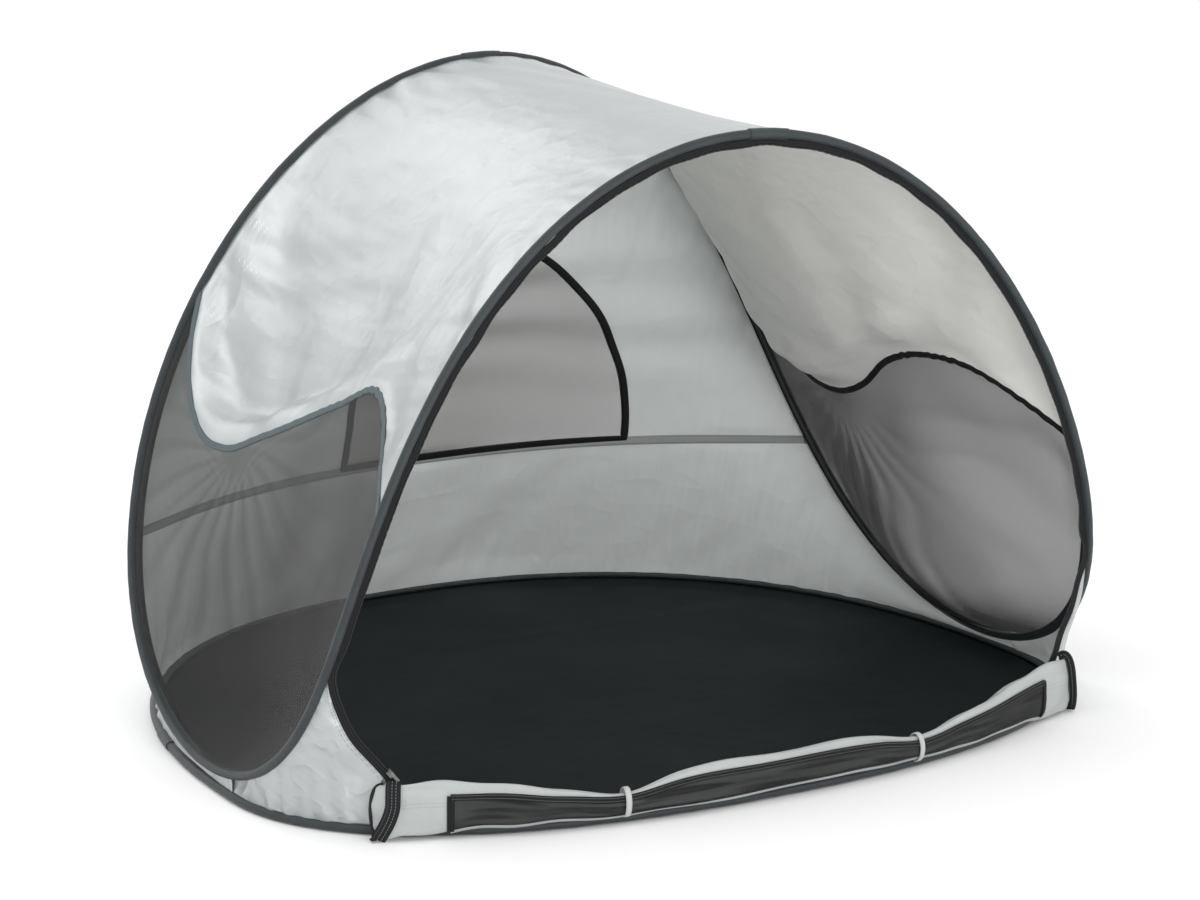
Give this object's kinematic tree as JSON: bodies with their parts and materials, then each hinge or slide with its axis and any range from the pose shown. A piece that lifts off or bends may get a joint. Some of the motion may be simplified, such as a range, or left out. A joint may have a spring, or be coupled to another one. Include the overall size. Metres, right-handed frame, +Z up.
{
  "type": "pop-up beach shelter",
  "caption": "Pop-up shelter: crossed spring-wire hoops hold a silver saddle roof, rear wall, floor, mesh sides and a rolled zip door, and fold flat about the tips.",
  "frame": {"origin": "on the ground, midway between the left and right tips where the hoops meet, on the fold line", "axes": "+X right as seen from the front, +Y towards the rear wall, +Z up; the doorway faces -Y"},
  "size_m": [1.518, 1.2872, 1.0314],
  "materials": {
    "silver_fabric": "silver-coated polyester",
    "sleeve_fabric": "dark slate woven sleeve",
    "grey_binding": "slate binding tape",
    "black_binding": "black binding tape",
    "mesh": "fine see-through netting",
    "door_mesh": "fine black netting, gathered",
    "zip_tape": "black woven zip tape with coil",
    "floor_fabric": "dark coated groundsheet",
    "seam_tape": "grey stitched tape",
    "tie_webbing": "light grey webbing",
    "spring_steel": "tempered spring wire",
    "zip_metal": "die-cast, nickel"
  },
  "bodies": {
    "rear_base": {"base_sleeve_rear": "sleeve_fabric", "base_wire_rear": "spring_steel", "base_wire_ferrule": "spring_steel", "base_sleeve_patch": "sleeve_fabric", "floor_rear": "floor_fabric", "rear_wall_lower": "silver_fabric", "rear_wall_upper": "silver_fabric", "rear_window_mesh": "mesh", "rear_window_binding": "black_binding", "rear_seam_tape": "seam_tape"},
    "rear_arch": {"arch_sleeve_rear": "sleeve_fabric", "arch_wire_rear": "spring_steel", "arch_wire_ferrule": "spring_steel", "arch_sleeve_patch_rear": "sleeve_fabric"},
    "front_arch": {"arch_sleeve_front": "sleeve_fabric", "arch_wire_front": "spring_steel", "arch_sleeve_patch_front": "sleeve_fabric", "roof_panel": "silver_fabric", "side_mesh_left": "mesh", "side_mesh_right": "mesh", "side_mesh_binding_left": "grey_binding", "side_mesh_binding_right": "grey_binding", "door_zip_tape": "zip_tape", "door_zip_coil": "zip_tape"},
    "front_base": {"base_sleeve_front": "sleeve_fabric", "base_wire_front": "spring_steel", "floor_front": "floor_fabric", "gusset_right": "silver_fabric", "door_roll": "silver_fabric", "door_window_mesh": "door_mesh", "door_window_binding": "black_binding", "door_piping": "seam_tape", "door_end_tape_left": "zip_tape", "door_end_tape_right": "zip_tape", "door_tie_left": "tie_webbing", "door_tie_right": "tie_webbing"},
    "left_gusset": {"gusset_left": "silver_fabric"},
    "slider": {"zip_slider": "zip_metal"},
    "puller": {"zip_puller": "zip_metal"}
  },
  "joints": [
    {"name": "fold", "type": "hinge", "parent": "rear_base", "child": "front_base", "pos_m": [0, 0, 0.009], "axis": [-1, 0, 0], "range_deg": [0, 170], "stiffness_Nm_per_rad": 2, "deforming": ["base_sleeve_front", "base_wire_front", "floor_front", "gusset_right", "door_roll", "door_window_mesh", "door_window_binding", "door_piping", "door_end_tape_left", "door_end_tape_right", "door_tie_left", "door_tie_right", "rear_wall_lower", "rear_wall_upper", "rear_window_mesh", "rear_window_binding", "rear_seam_tape"]},
    {"name": "rear_arch_fold", "type": "hinge", "parent": "rear_base", "child": "rear_arch", "pos_m": [0, 0, 0.009], "axis": [-1, 0, 0], "range_deg": [0, 59.5], "stiffness_Nm_per_rad": 4, "deforming": ["arch_sleeve_rear", "arch_wire_rear", "arch_wire_ferrule", "arch_sleeve_patch_rear"]},
    {"name": "front_arch_fold", "type": "hinge", "parent": "rear_base", "child": "front_arch", "pos_m": [0, 0, 0.009], "axis": [-1, 0, 0], "range_deg": [0, 102], "stiffness_Nm_per_rad": 4, "deforming": ["arch_sleeve_front", "arch_wire_front", "arch_sleeve_patch_front", "roof_panel", "side_mesh_left", "side_mesh_right", "side_mesh_binding_left", "side_mesh_binding_right", "door_zip_tape", "door_zip_coil"]},
    {"name": "gusset_fold", "type": "hinge", "parent": "rear_base", "child": "left_gusset", "pos_m": [0, 0, 0.009], "axis": [-1, 0, 0], "range_deg": [0, 156], "stiffness_Nm_per_rad": 1, "deforming": ["gusset_left"]},
    {"name": "zip_travel", "type": "slide", "parent": "left_gusset", "child": "slider", "axis": [-0.6071, 0.3005, 0.7356], "range_m": [0, 0.035]},
    {"name": "puller_swing", "type": "hinge", "parent": "slider", "child": "puller", "pos_m": [-0.61833, -0.28198, 0.10341], "axis": [0.7742, 0.0151, 0.6328], "range_deg": [-150, 0]}
  ],
  "couplings": [
    {"joint": "rear_arch_fold", "follows": "fold", "ratio": 0.3424},
    {"joint": "front_arch_fold", "follows": "fold", "ratio": 0.5918},
    {"joint": "gusset_fold", "follows": "fold", "ratio": 0.9106}
  ]
}
